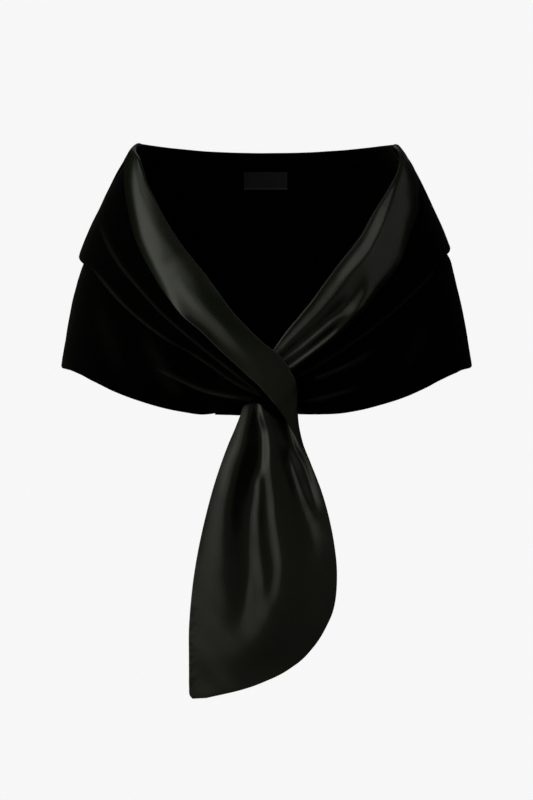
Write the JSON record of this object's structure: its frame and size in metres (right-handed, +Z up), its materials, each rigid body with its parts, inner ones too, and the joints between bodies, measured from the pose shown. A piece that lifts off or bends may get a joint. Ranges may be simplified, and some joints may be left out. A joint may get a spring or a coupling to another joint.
{
  "type": "evening stole",
  "caption": "Black velvet evening stole in its worn shape, with a turned-down collar, satin facings and a pull-through satin tail.",
  "frame": {"origin": "midway between the two places where the stole rests on the shoulders, at their height", "axes": "+Z up, -Y to the front of the wearer, +X to the wearer's left"},
  "size_m": [0.4963, 0.3095, 0.6675],
  "materials": {
    "velvet": "black velvet with a short dense pile",
    "satin": "black satin with a soft gloss",
    "woven_tape": "dark woven tape, bare"
  },
  "bodies": {
    "root": {"back": "velvet", "right_front": "velvet", "left_front": "velvet", "keeper": "velvet", "collar_back": "velvet", "right_collar": "velvet", "left_collar": "velvet", "right_facing": "satin", "left_facing": "satin", "tail": "satin", "label": "woven_tape"}
  },
  "joints": []
}
